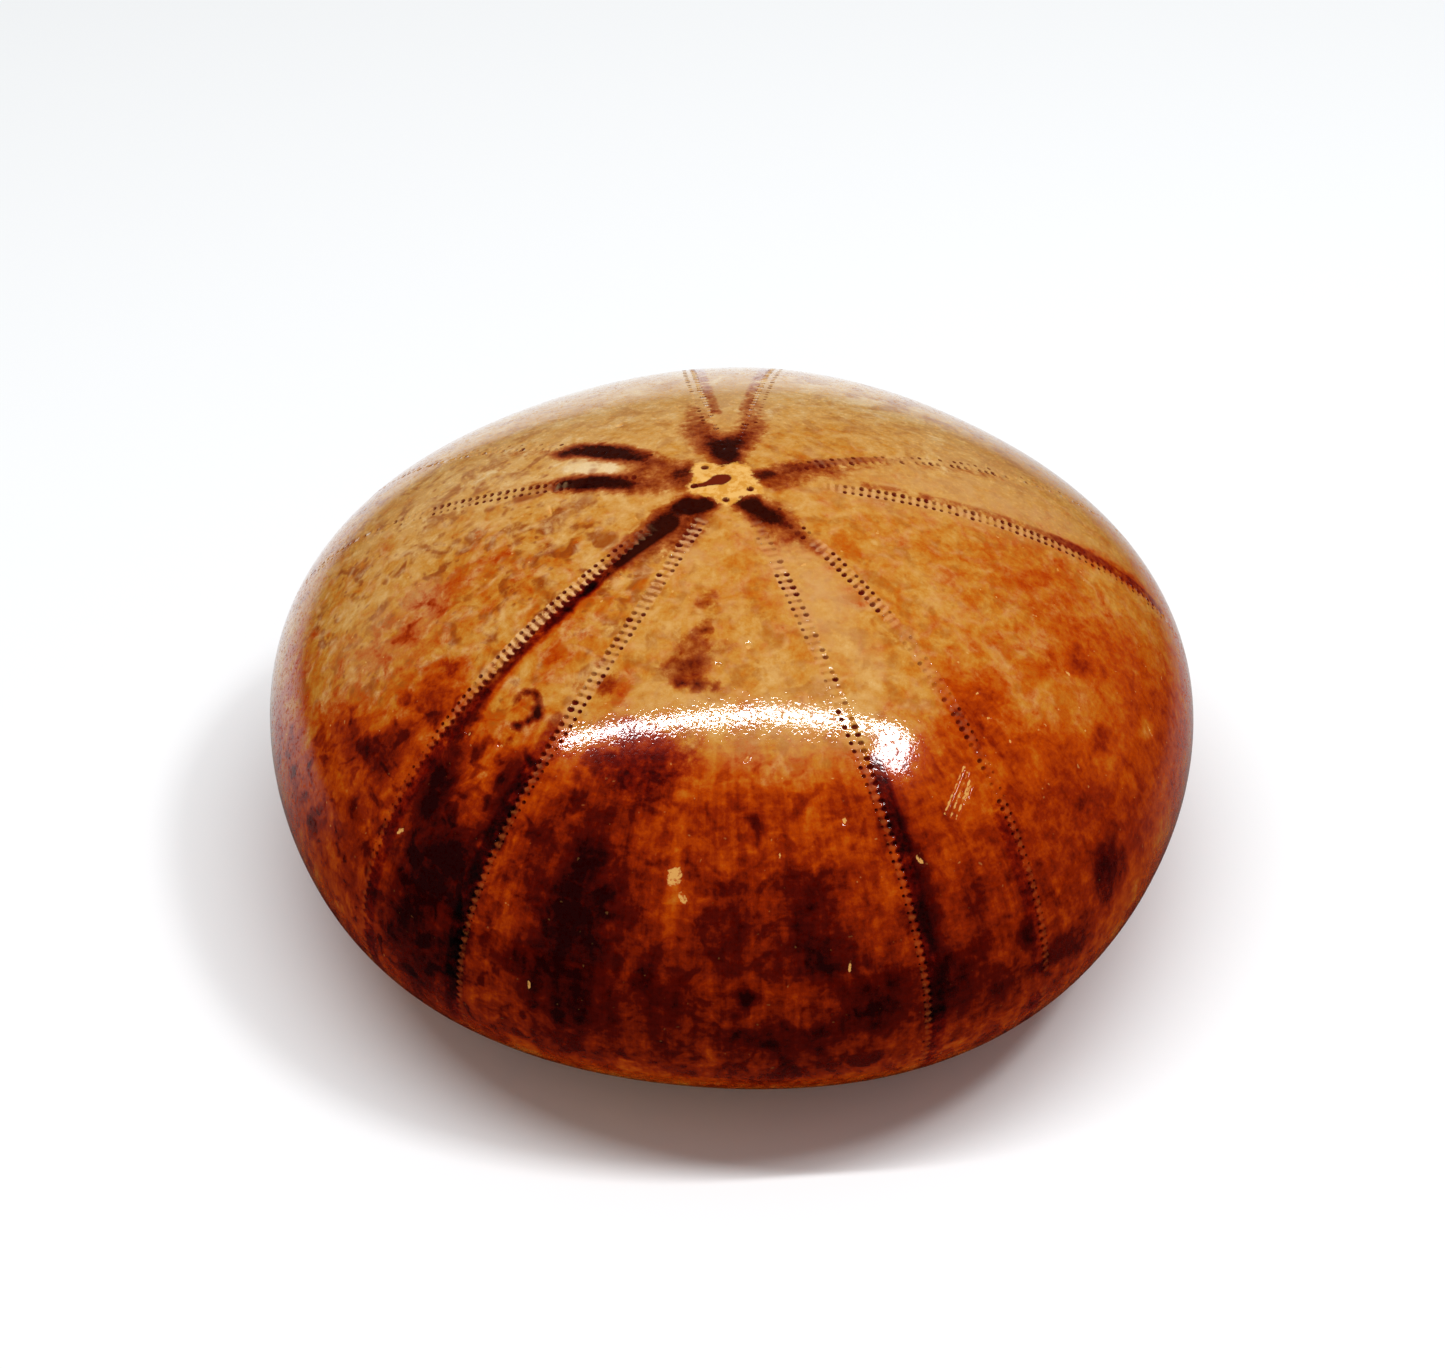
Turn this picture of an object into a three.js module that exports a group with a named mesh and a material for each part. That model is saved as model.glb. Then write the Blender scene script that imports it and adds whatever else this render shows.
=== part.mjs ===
// A polished fossil sea urchin: one solid piece of calcite, the shape of the animal's domed shell.
// Millimetres, +Z up. The origin is under the middle of the shell, on the surface that it rests on.
// The apex, with the plates where the five petals meet, is at the top, and the mouth is underneath.
import * as THREE from "three";

// Driving dimensions.
const RADIUS = 40; // mean radius of the outline, seen from above
const HEIGHT = 41.2; // from the resting face to the apex
const RIM_HEIGHT = 15.2; // where the shell is widest
const REST_OUTER = 17; // the flat ring that the shell rests on
const REST_INNER = 11;
const HOLLOW_DEPTH = 1.3; // the shallow hollow round the mouth, inside the resting ring
const MOUTH_RADIUS = 3.7;
const MOUTH_DEPTH = 2.2; // below the floor of the hollow
const VENT = { azimuth: 50, radius: 32, long: 6.4, wide: 4.4, depth: 1.2 }; // the oval opening behind

// Exponents of the superellipses that the crown and the belly follow: outwards, then upwards.
const CROWN = { out: 1.7, up: 2.06 };
const BELLY = { out: 1.78, up: 2.1 };

// How far the outline swells from a circle: waves round the shell, each with its height as a share of
// the radius and the azimuth of one crest. The wave of five follows the petals.
const OUTLINE_WAVES = [
  { count: 1, share: 0.014, crest: 86 },
  { count: 2, share: 0.007, crest: 153 },
  { count: 3, share: 0.007, crest: 44 },
  { count: 5, share: 0.011, crest: 13.6 },
];
const MOUTH_WAVE = { count: 5, share: 0.1, crest: 13.6 };

// Facets.
const SEGMENTS = 96; // round the shell
const CROWN_RINGS = 19;
const BELLY_RINGS = 10;
const REST_RINGS = 2;
const HOLLOW_RINGS = 3;
const MOUTH_RINGS = 4;

const STONE = new THREE.MeshStandardMaterial({ color: 0xa8642a, roughness: 0.15, metalness: 0 });

const radians = THREE.MathUtils.degToRad;

// How much a wave round the axis swells the radius at an azimuth.
function swell({ count, share, crest }, azimuth) {
  return share * Math.cos(count * (azimuth - radians(crest)));
}

// A smooth step from 0 to 1 as x goes from 0 to 1.
function ease(x) {
  return THREE.MathUtils.smoothstep(x, 0, 1);
}

// Points evenly spaced along the curve that pointAt(0 to 1) runs through, without its last one.
function spaced(pointAt, steps) {
  const curve = new THREE.Curve();
  curve.getPoint = (t) => pointAt(t);
  return curve.getSpacedPoints(steps).slice(0, steps);
}

// The quarter of a superellipse that runs from its side, at turn 0, to its top, at turn 1.
function quarter(turn, exponents) {
  const angle = (turn * Math.PI) / 2;
  return {
    out: Math.abs(Math.cos(angle)) ** (2 / exponents.out),
    up: Math.abs(Math.sin(angle)) ** (2 / exponents.up),
  };
}

// From the mouth's middle to its edge: a flat floor that curves up to a rounded wall.
function mouthPoint(t) {
  return new THREE.Vector2(t * MOUTH_RADIUS, HOLLOW_DEPTH + MOUTH_DEPTH * (1 - ease(t)));
}

// From the mouth's edge down to the resting ring.
function hollowPoint(t) {
  const out = THREE.MathUtils.lerp(MOUTH_RADIUS, REST_INNER, t);
  return new THREE.Vector2(out, HOLLOW_DEPTH * (1 - ease(t)));
}

function restPoint(t) {
  return new THREE.Vector2(THREE.MathUtils.lerp(REST_INNER, REST_OUTER, t), 0);
}

// From the resting ring out and up to the rim.
function bellyPoint(t) {
  const share = quarter(1 - t, BELLY);
  const out = THREE.MathUtils.lerp(REST_OUTER, RADIUS, share.out);
  return new THREE.Vector2(out, RIM_HEIGHT * (1 - share.up));
}

// From the rim up to the apex.
function crownPoint(t) {
  const share = quarter(t, CROWN);
  return new THREE.Vector2(RADIUS * share.out, THREE.MathUtils.lerp(RIM_HEIGHT, HEIGHT, share.up));
}

// Half of the shell's cross-section, from the middle of the mouth to the apex.
function halfSection() {
  return [
    ...spaced(mouthPoint, MOUTH_RINGS),
    ...spaced(hollowPoint, HOLLOW_RINGS),
    ...spaced(restPoint, REST_RINGS),
    ...spaced(bellyPoint, BELLY_RINGS),
    ...spaced(crownPoint, CROWN_RINGS),
    new THREE.Vector2(0, HEIGHT),
  ];
}

// How deep the vent's oval dent is at a point of the belly.
function ventDepth(point) {
  const middle = radians(VENT.azimuth);
  const away = point.x * Math.cos(middle) + point.y * Math.sin(middle) - VENT.radius;
  const across = point.y * Math.cos(middle) - point.x * Math.sin(middle);
  const reach = Math.hypot(away / (VENT.long / 2), across / (VENT.wide / 2));
  const below = point.z < RIM_HEIGHT ? 1 : 0;
  return below * VENT.depth * (1 - ease(reach / 1.6));
}

// Moves a point of the round shape to where the shell's own outline, mouth and vent put it.
function settle(point) {
  const azimuth = Math.atan2(point.y, point.x);
  const nearMouth = 1 - ease((Math.hypot(point.x, point.y) - MOUTH_RADIUS) / MOUTH_RADIUS);
  const below = point.z < RIM_HEIGHT ? 1 : 0;
  const outline = OUTLINE_WAVES.reduce((sum, wave) => sum + swell(wave, azimuth), 1);
  const scale = outline + below * nearMouth * swell(MOUTH_WAVE, azimuth);
  const settled = new THREE.Vector3(point.x * scale, point.y * scale, point.z);
  settled.z += ventDepth(settled);
  return settled;
}

function shellGeometry() {
  const geometry = new THREE.LatheGeometry(halfSection(), SEGMENTS);
  geometry.rotateX(Math.PI / 2);
  const places = geometry.getAttribute("position");
  for (let i = 0; i < places.count; i++) {
    const point = settle(new THREE.Vector3().fromBufferAttribute(places, i));
    places.setXYZ(i, point.x, point.y, point.z);
  }
  geometry.computeBoundingBox();
  const middle = geometry.boundingBox.getCenter(new THREE.Vector3());
  geometry.translate(-middle.x, -middle.y, 0);
  geometry.computeVertexNormals();
  return geometry;
}

const shell = new THREE.Mesh(shellGeometry(), STONE);
shell.name = "fossil_sea_urchin";

const urchin = new THREE.Group();
urchin.add(shell);

export default urchin;
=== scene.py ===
"""A polished fossil sea urchin: a domed calcite shell with five petals of pore pairs.

Lengths below are in millimetres and become metres where the mesh, camera and lights are made.
Azimuths are in degrees from +X towards +Y. The camera looks along +Y from above.
The surface has two faces that meet at the rim: the crown, from the apex down, and the underside, from
the middle of the mouth outwards. A place on a face is its distance along the surface from the middle
of that face, called its reach, and its azimuth.
"""

import math
import random

import bpy
import numpy as np
from mathutils import Matrix, Vector, geometry, kdtree, noise


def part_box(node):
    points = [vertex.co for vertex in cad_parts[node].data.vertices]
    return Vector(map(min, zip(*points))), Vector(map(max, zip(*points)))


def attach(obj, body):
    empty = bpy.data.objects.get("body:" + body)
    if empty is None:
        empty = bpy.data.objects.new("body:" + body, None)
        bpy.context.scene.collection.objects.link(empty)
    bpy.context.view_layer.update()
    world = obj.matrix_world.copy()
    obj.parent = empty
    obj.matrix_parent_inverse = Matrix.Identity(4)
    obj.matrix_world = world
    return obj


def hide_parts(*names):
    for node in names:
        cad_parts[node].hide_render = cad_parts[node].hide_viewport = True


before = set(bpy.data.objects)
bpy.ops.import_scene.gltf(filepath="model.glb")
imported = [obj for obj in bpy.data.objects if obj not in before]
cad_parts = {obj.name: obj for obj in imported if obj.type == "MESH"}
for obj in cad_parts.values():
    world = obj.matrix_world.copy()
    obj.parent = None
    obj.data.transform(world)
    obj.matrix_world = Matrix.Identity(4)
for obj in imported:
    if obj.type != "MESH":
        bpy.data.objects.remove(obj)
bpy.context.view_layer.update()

NODE = "fossil_sea_urchin"
BODY = "root"
MM = 0.001

# -------------------- shape of the shell

LOW, HIGH = (np.array(corner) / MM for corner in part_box(NODE))
HEIGHT = HIGH[2] - LOW[2]
RADIUS = 0.4965 * (HIGH[0] - LOW[0])  # mean radius of the outline
RIM_HEIGHT = 15.2
REST_OUTER = 17.0
REST_INNER = 11.0
HOLLOW_DEPTH = 1.3
MOUTH_RADIUS = 3.7
MOUTH_DEPTH = 2.2
VENT = {"azimuth": 50.0, "radius": 32.0, "long": 6.4, "wide": 4.4, "depth": 1.2}
CROWN_POWERS = (1.7, 2.06)  # of the superellipse: outwards, upwards
BELLY_POWERS = (1.78, 2.1)
OUTLINE_WAVES = [  # waves round the shell: how many, height as a share of the radius, azimuth of a crest
    (1, 0.014, 86.0),
    (2, 0.007, 153.0),
    (3, 0.007, 44.0),
    (5, 0.011, 13.6),
]
MOUTH_WAVE = (5, 0.1, 13.6)
RIPPLE = {"height": 0.035, "length": 7.0}  # the polish isn't quite even

# Spacing of the mesh's points along the surface.
RIM_POINTS = 480
CROWN_SPACING = 0.56
UNDER_SPACING = 0.85
RIM_MARGIN = 0.45
PROFILE_STEPS = 4000

# -------------------- petals

# Each petal's middle: its azimuth near the apex and at the rim, and how wide it is beside the others.
PETALS = {
    "back": (90.6, 89.2, 0.86),
    "left": (160.0, 160.0, 1.0),
    "front_left": (231.4, 229.3, 1.0),
    "front_right": (302.6, 300.3, 1.0),
    "right": (13.2, 11.6, 1.0),
}
ROW_PITCH = 0.69  # from one pore pair to the next
PORE_APART = 0.78  # between the two pores of a pair
FIRST_PAIR = 5.2
OUTER_PORE = {"across": 0.2, "along": 0.19, "depth": 0.22}
INNER_PORE = {"across": 0.3, "along": 0.225, "depth": 0.28}
UNDER_PORE = {"across": 0.12, "along": 0.12, "depth": 0.15}
INNER_SHIFT = 0.06  # the inner pore lies a little further down the row
UNDER_PITCH = 1.3
PORE_LIP = 0.045  # from the dark edge of a pore to the polished surface round it
PORE_SHIFT = 0.04  # up or down the row, by chance
PORE_SIZES = (0.85, 1.12)  # times the usual size, by chance
LEAST_FILL = 0.15  # the least depth and darkness of a pore, beside the full ones
FILL_SPREAD = 0.28
PAIR_CHANCE = {"least": 0.25, "clearness": 1.6}  # that a pair is there at all
LOW_THINNING = {"share": 0.35, "start": 24, "end": 42}  # pores get smaller down the crown's rows
# How far a row is from its petal's middle. On the crown it nears a limit. Below, it grows by a power.
CROWN_ROW = {"limit": 6.2, "out": 29.0}
UNDER_ROW = {"start": 0.9, "gain": 4.5, "out": 40.0, "power": 1.3}
PETAL_TURN = (8.0, 45.0)  # the reaches between which a petal's middle turns to its azimuth at the rim

# How clear the pores of each row are, by petal and by side: -1 clockwise and 1 anticlockwise of the
# petal's middle, seen from above. Each entry is (from, to, clearness), in reach from the apex.
CLEAR_PORES = {
    ("front_left", -1): [(6, 11, 0.45), (11, 25, 1.0), (25, 29, 0.7), (29, 34, 1.0), (34, 45, 0.5)],
    ("front_left", 1): [(6, 9, 0.6), (9, 16, 0.4), (16, 19, 0.9), (19, 25, 0.75), (25, 35, 0.9),
                        (35, 52, 0.7)],
    ("front_right", -1): [(6, 10, 0.35), (11, 13.4, 1.0), (14, 18, 0.6), (18, 25, 0.35), (25, 31, 0.9),
                          (31, 52, 0.8)],
    ("front_right", 1): [(5, 9, 0.6), (11, 18, 1.0), (18, 28, 0.25), (28, 31, 0.9), (31, 36, 0.3),
                         (36, 41, 0.9), (41, 50, 0.7)],
    ("right", -1): [(9, 12, 0.7), (12, 18, 1.0), (18, 21, 0.8), (21, 23, 0.4), (23, 31, 1.0), (31, 41, 0.8),
                    (41, 50, 0.4)],
    ("right", 1): [(5, 12, 0.7), (12, 17, 0.4), (17, 25, 0.6), (25, 50, 0.4)],
    ("left", -1): [(8, 16, 0.6), (16, 24, 0.4), (24, 50, 0.3)],
    ("left", 1): [(8, 14, 0.8), (14, 26, 0.95), (26, 36, 0.4), (36, 50, 0.3)],
    ("back", -1): [(5, 30, 0.6), (30, 50, 0.4)],
    ("back", 1): [(5, 30, 0.6), (30, 50, 0.4)],
}
# The pale stone round the pores of each row, and the dark band along the row's inner side, likewise.
PALE_ROWS = {
    ("front_left", -1): [(9, 14, 0.2), (14, 25, 1.0), (25, 34, 0.5), (34, 50, 0.2)],
    ("front_left", 1): [(6, 15, 0.7), (15, 25, 0.5), (25, 52, 0.4)],
    ("front_right", -1): [(6, 11, 0.25), (11, 14, 0.6), (15, 27, 0.25), (27, 52, 0.36)],
    ("front_right", 1): [(10, 19, 0.5), (19, 36, 0.15), (36, 50, 0.3)],
    ("right", -1): [(8, 30, 0.45), (30, 50, 0.25)],
    ("right", 1): [(8, 25, 0.15)],
    ("left", -1): [(16, 40, 0.1)],
    ("left", 1): [(14, 28, 0.2)],
    ("back", -1): [(12, 40, 0.1)],
    ("back", 1): [(12, 40, 0.1)],
}
DARK_ROWS = {
    ("front_left", -1): [(7, 14, 0.5), (14, 33, 0.75), (33, 52, 0.5)],
    ("front_left", 1): [(27, 31, 0.4), (31, 52, 0.8)],
    ("front_right", -1): [(29, 38, 0.8), (38, 52, 0.66)],
    ("front_right", 1): [(36, 50, 0.3)],
    ("right", -1): [(11, 28, 0.22), (28, 41, 0.45)],
    ("right", 1): [(5, 14, 0.15), (17, 25, 0.15)],
    ("left", -1): [(16, 22, 0.15)],
    ("left", 1): [(14, 20, 0.15)],
    ("back", -1): [(12, 30, 0.28), (30, 50, 0.42)],
    ("back", 1): [(12, 30, 0.28), (30, 50, 0.36)],
}

# -------------------- stains in the stone
# Each is (azimuth, reach, half-width across, half-length along, strength). Strength adds to the depth
# of the stain, from 0, cream calcite, through honey, orange and mahogany, to 1, nearly black.

# The azimuths of the sides, for what changes slowly round the shell.
FRONT = 265.0
RIGHT = 335.0
BACK = 90.0
LEFT = 195.0
FRONT_STAINS = [
    (246, 23, 1.4, 2.2, 0.18), (255, 28.6, 3.6, 3.6, 0.24), (250, 33.5, 2.6, 2.6, 0.14),
    (251, 39, 3.4, 3.8, 0.3), (251, 46.5, 4, 6, 0.3), (243, 38, 1.2, 4, 0.12), (262, 47, 2, 5, 0.2),
    (262.5, 40, 0.6, 9, -0.14), (270, 42, 2, 4, 0.12), (279, 38, 2.4, 2, 0.16), (280, 43, 3, 3, 0.26),
    (272, 46.6, 0.9, 0.9, 0.4), (287, 48, 3.4, 3, 0.26), (276, 50.5, 5, 1.6, 0.2),
    (273, 32.6, 0.6, 0.4, 0.25), (277, 30.8, 1, 0.6, 0.15), (283, 33, 1.6, 2, -0.06),
    (288, 38, 1.6, 4, -0.05), (242.4, 40.5, 1, 3.2, -0.14), (241, 46.3, 0.8, 2, -0.08),
    (247.3, 32.8, 0.8, 1.2, 0.05),
]
FRONT_LEFT_PETAL_STAINS = [
    (223.5, 19, 0.6, 6, 0.35), (223.8, 29, 0.5, 4, 0.3), (225.6, 36, 1.6, 3.6, 0.42),
    (235, 34, 0.9, 4, 0.25), (230, 42, 3.8, 5, 0.24), (230, 49, 4.2, 4, 0.24), (231, 33, 1, 2.6, -0.04),
    (236, 46, 1.4, 6, 0.24), (233, 40, 2, 3, 0.12), (229, 41.5, 3, 4, 0.1), (237.4, 34.5, 0.8, 3, 0.18),
    (227, 31.4, 0.8, 1.6, -0.13),
]
FRONT_RIGHT_PETAL_STAINS = [
    (294.5, 40, 0.9, 8, 0.22), (300, 44, 2.2, 4.5, 0.1), (296, 48, 2, 3, 0.3), (306, 46.4, 0.9, 1.4, 0.35),
    (303, 49.5, 2.6, 2, 0.15), (300, 15, 2, 5, -0.05),
]
SIDE_STAINS = [
    (214.8, 31.6, 2.2, 4, 0.2), (214, 37.6, 2.6, 1.8, 0.26), (161, 12, 1, 2.8, -0.4),
    (206, 38.6, 3, 1.6, 0.22), (215, 44, 3, 5, 0.1), (205, 46, 4, 4, 0.07), (195, 48, 5, 4, 0.07),
    (189, 35, 3, 4, -0.03), (203, 24, 7, 10, 0.07), (196, 30, 4, 6, 0.06), (232, 23, 1.6, 4, 0.05),
    (315, 29, 2.9, 4.8, 0.14), (345, 27, 7, 8, 0.08), (357, 21, 5, 8, 0.06), (350, 30, 6, 6, 0.07),
    (334, 30.4, 2, 1.2, 0.12), (338.5, 32.8, 1.8, 1.3, 0.14), (341, 35, 4, 4, 0.06), (333, 34, 4, 3, 0.05),
    (331, 37.8, 1.6, 1, 0.18), (322, 38, 4, 4, 0.1), (340, 41.5, 1, 1, -0.12), (321, 46.4, 2.3, 2.6, 0.28),
    (323.5, 43.4, 1.2, 1.4, 0.08), (312, 49.6, 3.4, 2, 0.22), (330, 45, 4, 4, 0.1), (5, 34, 1.2, 5, 0.2),
    (172, 30.6, 2.6, 1, 0.1), (45, 14, 6, 7, 0.09), (198, 22, 5, 7, 0.03), (345, 40, 6, 8, 0.1),
    (325, 18, 12, 14, 0.05), (100, 26, 26, 15, -0.16), (55, 16, 9, 9, -0.05), (315, 42, 9, 8, 0.06),
    (231, 20, 2.6, 6, 0.12), (270, 14, 6, 5, 0.03),
]
BACK_STAINS = [
    (52, 36, 3, 4, 0.1), (60, 40, 4, 2.5, 0.12), (66, 35, 2, 3, 0.06), (57, 44, 3, 3, 0.12),
    (114, 40, 3, 3.5, 0.1), (122, 43, 2.5, 3, 0.12), (127, 38, 2, 2.5, 0.06), (119, 47, 3, 2, 0.12),
    (98, 38, 1.6, 6, 0.08), (101, 46, 2.4, 3, 0.12), (95, 31, 1.2, 3, 0.05), (28, 46, 3, 2.5, 0.16),
    (35, 48, 2.5, 2, 0.16), (24, 43, 1.6, 3, 0.08), (137, 48, 3, 2.4, 0.16), (145, 46, 2.6, 2.4, 0.12),
    (133, 44, 2, 2, 0.08), (72, 48, 2.8, 2.6, 0.2), (79, 45, 2.2, 3, 0.14), (84, 49, 2, 1.6, 0.12),
]
ALL_STAINS = FRONT_STAINS + FRONT_LEFT_PETAL_STAINS + FRONT_RIGHT_PETAL_STAINS + SIDE_STAINS + BACK_STAINS
# Smears of brown over the stone, in the same form. At 0.25 they are thin, and at 1 nearly black.
SMEARS = {
    "start of the front left petal": [
        (217, 5, 1, 0.9, 0.7), (226, 4.4, 1.3, 0.9, 1), (237, 3.5, 1.1, 0.8, 1), (220, 6.8, 1.3, 1.8, 0.46),
        (221.5, 10, 1.2, 4.2, 0.4), (225.5, 12, 1, 5, 0.25), (229, 8, 2.6, 3.2, 0.4),
        (239, 6.6, 1, 2.4, 0.3),
    ],
    "start of the front right petal": [
        (294, 3.2, 1.3, 1.2, 1.05), (304, 4.8, 1.4, 1.5, 0.8), (312, 6.8, 1, 1.6, 0.55),
        (312, 9.2, 0.7, 2, 0.3), (301, 6.8, 1.6, 2.4, 0.25),
    ],
    "start of the right petal": [
        (18, 2.6, 0.9, 1.2, 0.75), (352, 3.7, 0.6, 1, 0.4), (8, 4.6, 1, 1.6, 0.42),
        (27, 4.8, 0.8, 1.6, 0.45), (25, 7.4, 0.7, 2.6, 0.42), (25, 10.8, 0.5, 3, 0.3),
        (15, 7.6, 1.2, 3.4, 0.22), (25, 15, 0.4, 3, 0.18),
    ],
    "start of the left petal": [
        (174, 3.9, 1.5, 1.2, 0.5), (154, 4.4, 1.4, 1.4, 0.55), (163, 7, 2, 1.8, 0.4),
        (183, 6, 1.1, 1.8, 0.36), (150, 8, 1, 1.6, 0.4), (149, 10.8, 1.15, 2.5, 1.1),
        (149.5, 13.6, 1.1, 2.3, 1.1), (153, 15.6, 0.9, 1.1, 0.6), (178, 8.6, 0.9, 1.5, 0.6),
        (172, 10.4, 1, 2, 1.1), (170.5, 12.8, 1, 1.8, 1), (171, 14.6, 0.7, 1, 0.5),
    ],
    "start of the back petal": [
        (96, 3.4, 1.3, 1.8, 0.9), (106, 5.8, 1.5, 2, 0.45), (84, 5.6, 1.3, 2, 0.45),
        (109, 8.4, 1.6, 2.8, 0.42), (79, 8.4, 1.4, 2.8, 0.4), (94, 5.8, 1.5, 1.8, 0.4),
        (104, 12, 1, 3, 0.24), (81, 12.4, 0.8, 3.2, 0.22),
    ],
    "front": [
        (261, 14.1, 0.9, 0.3, 0.4), (262.4, 15.6, 0.6, 0.2, 0.3), (262.5, 16.5, 0.6, 0.4, 0.85),
        (260.7, 18.4, 1.3, 1.4, 0.22), (260.3, 20.2, 1.1, 0.8, 0.3), (258.5, 21.7, 0.65, 0.42, 0.7),
        (262.9, 21.7, 0.65, 0.5, 0.85), (266.5, 21.7, 0.45, 0.45, 0.5), (256, 20.6, 1.2, 1, 0.25),
        (260.5, 19.4, 1.7, 2.4, 0.28), (262, 13.6, 1, 1, 0.18), (244, 23, 0.8, 1.2, 0.5),
        (240, 21.4, 0.8, 0.6, 0.2), (238.5, 23.9, 0.7, 0.6, 0.3), (254, 28.6, 3.2, 3.4, 0.42),
        (262, 27.6, 1.6, 2.4, 0.2), (262, 13, 0.5, 0.3, 0.25), (269, 18, 1, 0.8, 0.15),
    ],
    "ring in the front left petal": [
        (229, 27, 0.3, 0.6, 0.7), (229.8, 26.2, 0.4, 0.3, 0.7), (231.2, 25.9, 0.5, 0.3, 0.8),
        (232.6, 26.2, 0.45, 0.4, 0.8), (233.6, 26.9, 0.5, 0.5, 1), (234.4, 27.5, 0.5, 0.4, 1),
        (233.4, 28.1, 0.4, 0.4, 0.9), (232.2, 28.9, 0.6, 0.45, 1), (232.4, 30.3, 0.3, 0.45, 0.6),
    ],
    "sides": [
        (213, 28.6, 1, 0.5, 0.45), (334, 30.4, 1.4, 0.9, 0.12), (338.5, 32.8, 1.3, 1, 0.14),
        (321, 46.2, 2, 2.4, 0.22), (200, 16.5, 1.4, 1, 0.2), (207, 20.5, 1.2, 1.2, 0.15),
        (197, 13.8, 1.6, 0.6, 0.15),
    ],
}
# Clouds of greyish, milky calcite, in the same form. Strength is how much of the colour they hide.
CLOUDS = [
    (299, 14, 2.6, 7, 0.6), (251, 9.4, 1.2, 1.2, 0.6), (8, 20, 3.2, 12, 0.5), (195, 27.5, 2.4, 1.6, 0.6),
    (196, 32, 4, 5, 0.35), (89, 17, 3, 9, 0.75), (160, 30, 8, 12, 0.35), (28, 28, 8, 9, 0.45),
    (120, 26, 9, 10, 0.45), (255, 28, 3, 3, 0.3), (277, 27, 5, 2.2, 0.3),
]


def angle_apart(azimuth, other):
    """Degrees from other to azimuth, the short way round."""
    return (azimuth - other + 180.0) % 360.0 - 180.0


def smooth(low, high, value):
    """A smooth step from 0, at low, to 1, at high."""
    t = np.clip((value - low) / (high - low), 0.0, 1.0)
    return t * t * (3.0 - 2.0 * t)


def polar(flat):
    """The reach and the azimuth of places in flat form, which is reach x (cos, sin) of the azimuth."""
    return np.hypot(flat[:, 0], flat[:, 1]), np.degrees(np.arctan2(flat[:, 1], flat[:, 0]))


# -------------------- the bare surface


class Face:
    """The crown or the underside: half of the cross-section, from its middle to the rim, and its outline."""

    def __init__(self, name, out, up):
        self.name = name
        self.out, self.up = out, up
        self.reach = np.concatenate([[0.0], np.cumsum(np.hypot(np.diff(out), np.diff(up)))])
        self.size = self.reach[-1]

    def section(self, reach):
        return np.interp(reach, self.reach, self.out), np.interp(reach, self.reach, self.up)

    def bare(self, flat):
        """Where places of the face, in flat form, are in space."""
        reach = np.hypot(flat[:, 0], flat[:, 1])
        azimuth = np.arctan2(flat[:, 1], flat[:, 0])
        out, up = self.section(reach)
        scale = np.ones(len(flat))
        for count, share, crest in OUTLINE_WAVES:
            scale += share * np.cos(count * (azimuth - math.radians(crest)))
        if self.name == "underside":
            count, share, crest = MOUTH_WAVE
            near = 1.0 - smooth(MOUTH_RADIUS, 2 * MOUTH_RADIUS, out)
            scale += near * share * np.cos(count * (azimuth - math.radians(crest)))
        x, y = out * np.cos(azimuth) * scale, out * np.sin(azimuth) * scale
        if self.name == "underside":
            up = up + vent_depth(x, y)
        return np.stack([x, y, up], axis=1)

    def flat(self, reach, azimuth):
        turn = np.radians(azimuth)
        return np.stack([reach * np.cos(turn), reach * np.sin(turn)], axis=-1)


def quarter(turn, powers):
    """The quarter of a superellipse that runs from its side, at turn 0, to its top, at turn 1."""
    angle = turn * math.pi / 2
    return np.abs(np.cos(angle)) ** (2 / powers[0]), np.abs(np.sin(angle)) ** (2 / powers[1])


def crown_face():
    out, up = quarter(np.linspace(1.0, 0.0, PROFILE_STEPS), CROWN_POWERS)
    return Face("crown", RADIUS * out, RIM_HEIGHT + (HEIGHT - RIM_HEIGHT) * up)


def under_face():
    t = np.linspace(0.0, 1.0, PROFILE_STEPS)
    mouth = t * MOUTH_RADIUS, HOLLOW_DEPTH + MOUTH_DEPTH * (1 - smooth(0, 1, t))
    hollow = MOUTH_RADIUS + (REST_INNER - MOUTH_RADIUS) * t, HOLLOW_DEPTH * (1 - smooth(0, 1, t))
    rest = REST_INNER + (REST_OUTER - REST_INNER) * t, 0 * t
    share_out, share_up = quarter(1 - t, BELLY_POWERS)
    belly = REST_OUTER + (RADIUS - REST_OUTER) * share_out, RIM_HEIGHT * (1 - share_up)
    parts = [mouth, hollow, rest, belly]
    return Face("underside", *(np.concatenate([part[axis] for part in parts]) for axis in (0, 1)))


def vent_depth(x, y):
    middle = math.radians(VENT["azimuth"])
    away = x * math.cos(middle) + y * math.sin(middle) - VENT["radius"]
    across = y * math.cos(middle) - x * math.sin(middle)
    spread = np.hypot(away / (VENT["long"] / 2), across / (VENT["wide"] / 2))
    return VENT["depth"] * (1 - smooth(0, 1.6, spread))


# -------------------- rows of pores


def row_offset(face, out):
    """How far a pore row is from the middle of its petal, at a distance from the shell's axis."""
    if face.name == "crown":
        return CROWN_ROW["limit"] * np.tanh(out / CROWN_ROW["out"])
    return UNDER_ROW["start"] + UNDER_ROW["gain"] * (out / UNDER_ROW["out"]) ** UNDER_ROW["power"]


def petal_middle(face, petal, reach):
    """The azimuth of a petal's middle at a reach, and how wide the petal is."""
    top, rim, width = PETALS[petal]
    share = smooth(*PETAL_TURN, reach) if face.name == "crown" else 1.0
    return top + (rim - top) * share, width


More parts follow.
